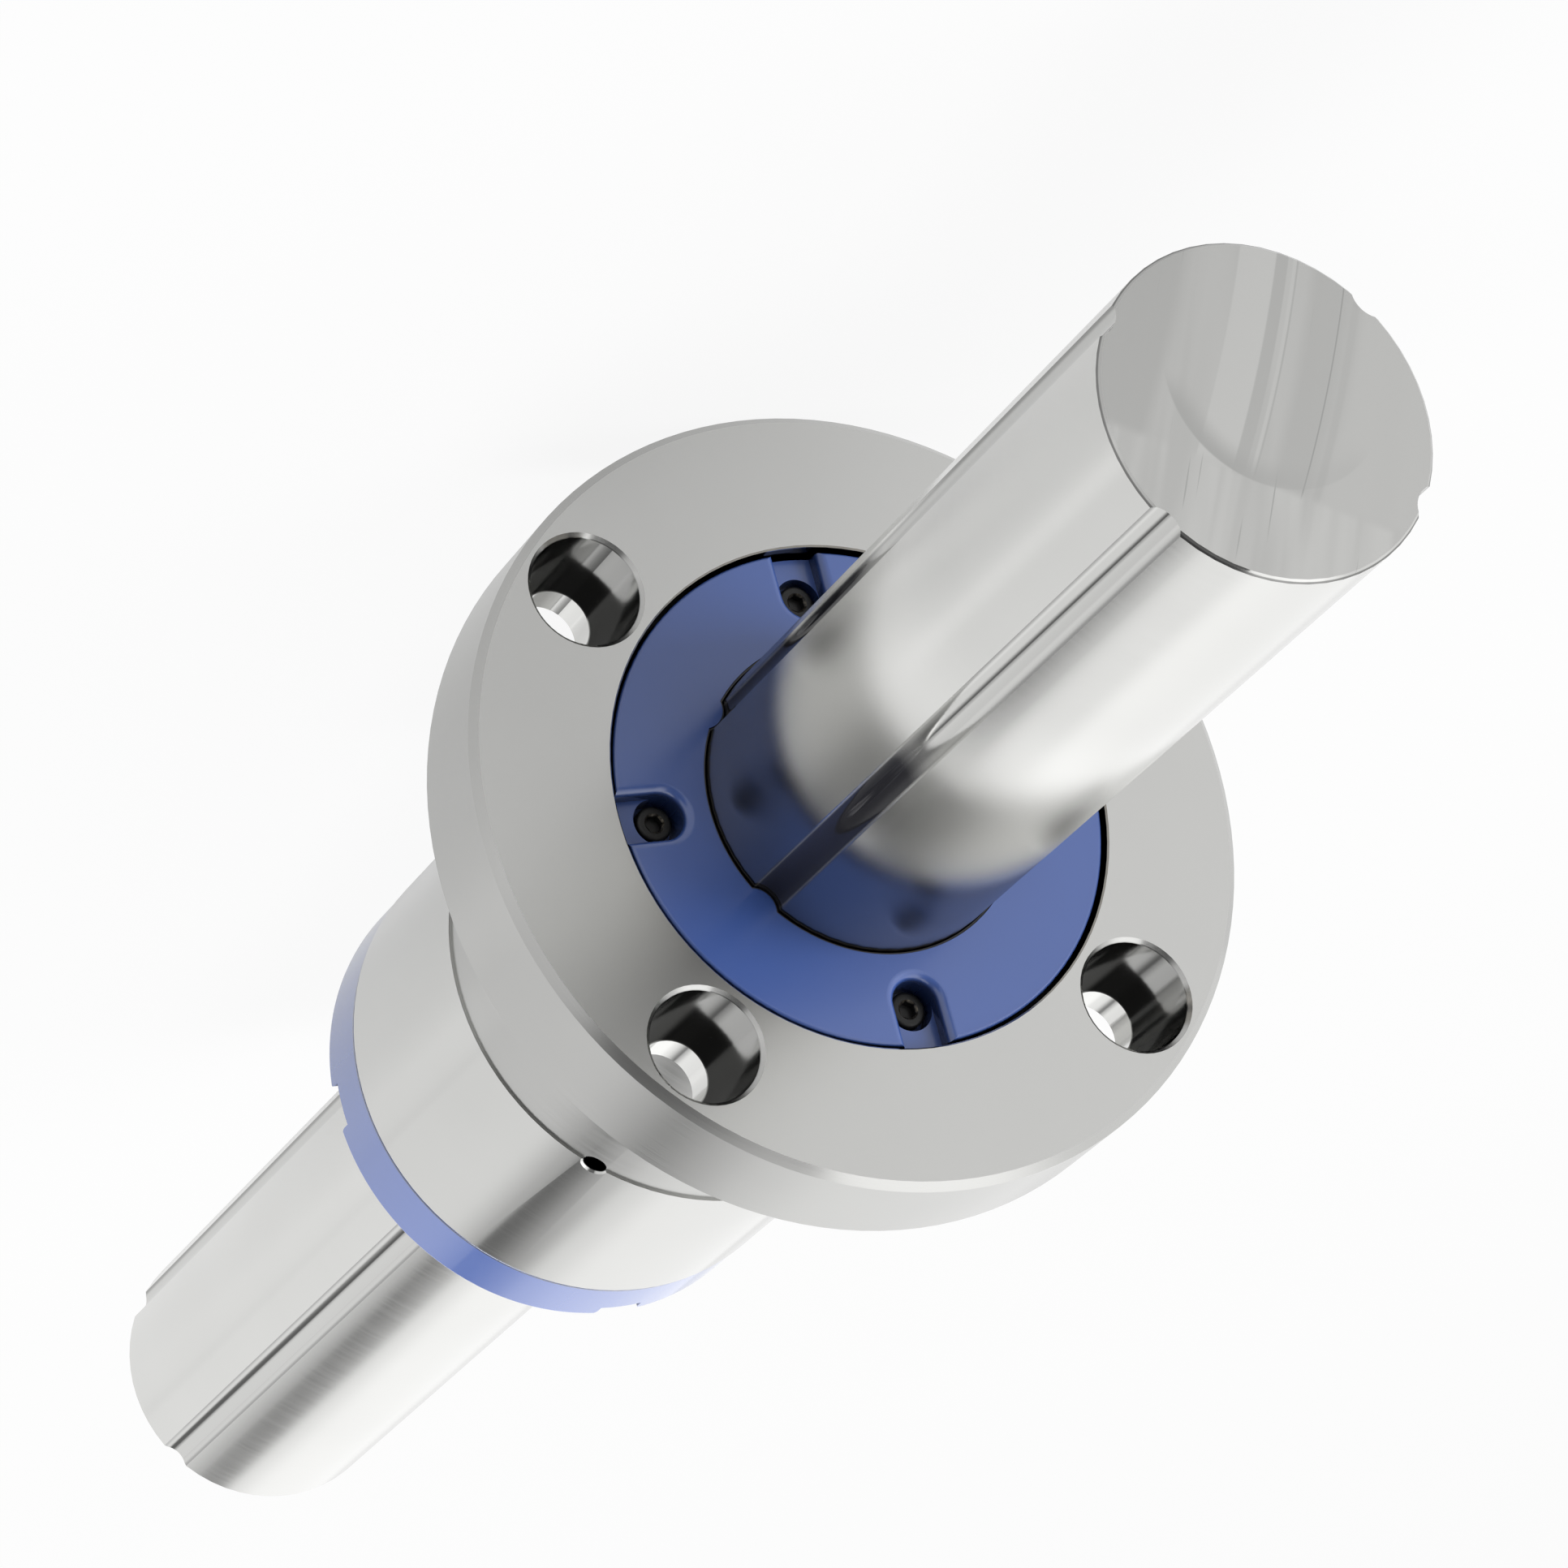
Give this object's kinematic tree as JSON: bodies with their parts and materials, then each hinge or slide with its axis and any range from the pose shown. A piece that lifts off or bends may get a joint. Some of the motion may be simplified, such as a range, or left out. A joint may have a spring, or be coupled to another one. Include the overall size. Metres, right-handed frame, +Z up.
{
  "type": "flanged ball spline",
  "caption": "Flanged ball spline: a grooved round shaft slides without turning through a flanged nut with recirculating balls and blue end caps.",
  "frame": {"origin": "on the shaft's axis, in the plane of the flange's seating face", "axes": "+X along the shaft, from the seating face towards the flange's front face; +Z up, through one of the cap screws"},
  "size_m": [0.324, 0.1, 0.1],
  "materials": {
    "shaft_steel": "ground and polished",
    "nut_steel": "fine ground",
    "cap_plastic": "moulded, satin",
    "screw_steel": "black oxide",
    "seal_rubber": "matte",
    "guide_plastic": "moulded",
    "keeper_plastic": "moulded",
    "ball_steel": "polished"
  },
  "bodies": {
    "nut": {"flanged_nut": "nut_steel", "front_end_cap": "cap_plastic", "rear_end_cap": "cap_plastic", "front_cap_screws": "screw_steel", "rear_cap_screws": "screw_steel", "front_seal": "seal_rubber", "rear_seal": "seal_rubber", "front_return_guide_1": "guide_plastic", "front_return_guide_2": "guide_plastic", "front_return_guide_3": "guide_plastic", "front_return_guide_4": "guide_plastic", "rear_return_guide_1": "guide_plastic", "rear_return_guide_2": "guide_plastic", "rear_return_guide_3": "guide_plastic", "rear_return_guide_4": "guide_plastic", "ball_keeper_1": "keeper_plastic", "ball_keeper_2": "keeper_plastic", "ball_keeper_3": "keeper_plastic", "ball_keeper_4": "keeper_plastic", "ball_circuit_1": "ball_steel", "ball_circuit_2": "ball_steel", "ball_circuit_3": "ball_steel", "ball_circuit_4": "ball_steel"},
    "shaft": {"spline_shaft": "shaft_steel"}
  },
  "joints": [
    {"name": "shaft_slide", "type": "slide", "parent": "nut", "child": "shaft", "axis": [1, 0, 0], "range_m": [-0.095, 0.109]}
  ]
}
